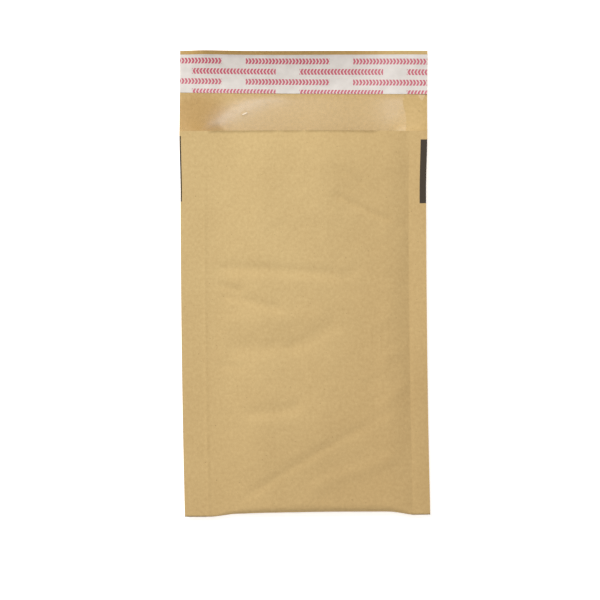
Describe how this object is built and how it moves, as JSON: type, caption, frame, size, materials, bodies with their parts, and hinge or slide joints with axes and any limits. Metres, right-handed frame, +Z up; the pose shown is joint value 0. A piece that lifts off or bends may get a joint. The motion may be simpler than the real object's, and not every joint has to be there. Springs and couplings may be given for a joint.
{
  "type": "padded envelope",
  "caption": "Small padded mailing envelope lying flat with its flap open: folded kraft paper lined with bubble film, with a lined adhesive strip across the flap.",
  "frame": {"origin": "on the floor under the middle of the open envelope's bounding box", "axes": "+Y along the envelope from the bottom fold to the tip of the flap, +Z up from the back panel to the front panel, +X to the right seen from above with the flap at the top"},
  "size_m": [0.12, 0.2262, 0.0106],
  "materials": {
    "kraft_paper": "uncoated, matt, fibrous, softly creased",
    "bubble_film": "clear polyethylene film with round air bubbles",
    "adhesive": "clear, tacky, pressure sensitive",
    "liner_paper": null
  },
  "bodies": {
    "root": {"kraft_outer": "kraft_paper", "bubble_lining": "bubble_film", "adhesive_strip": "adhesive", "release_liner": "liner_paper"}
  },
  "joints": []
}
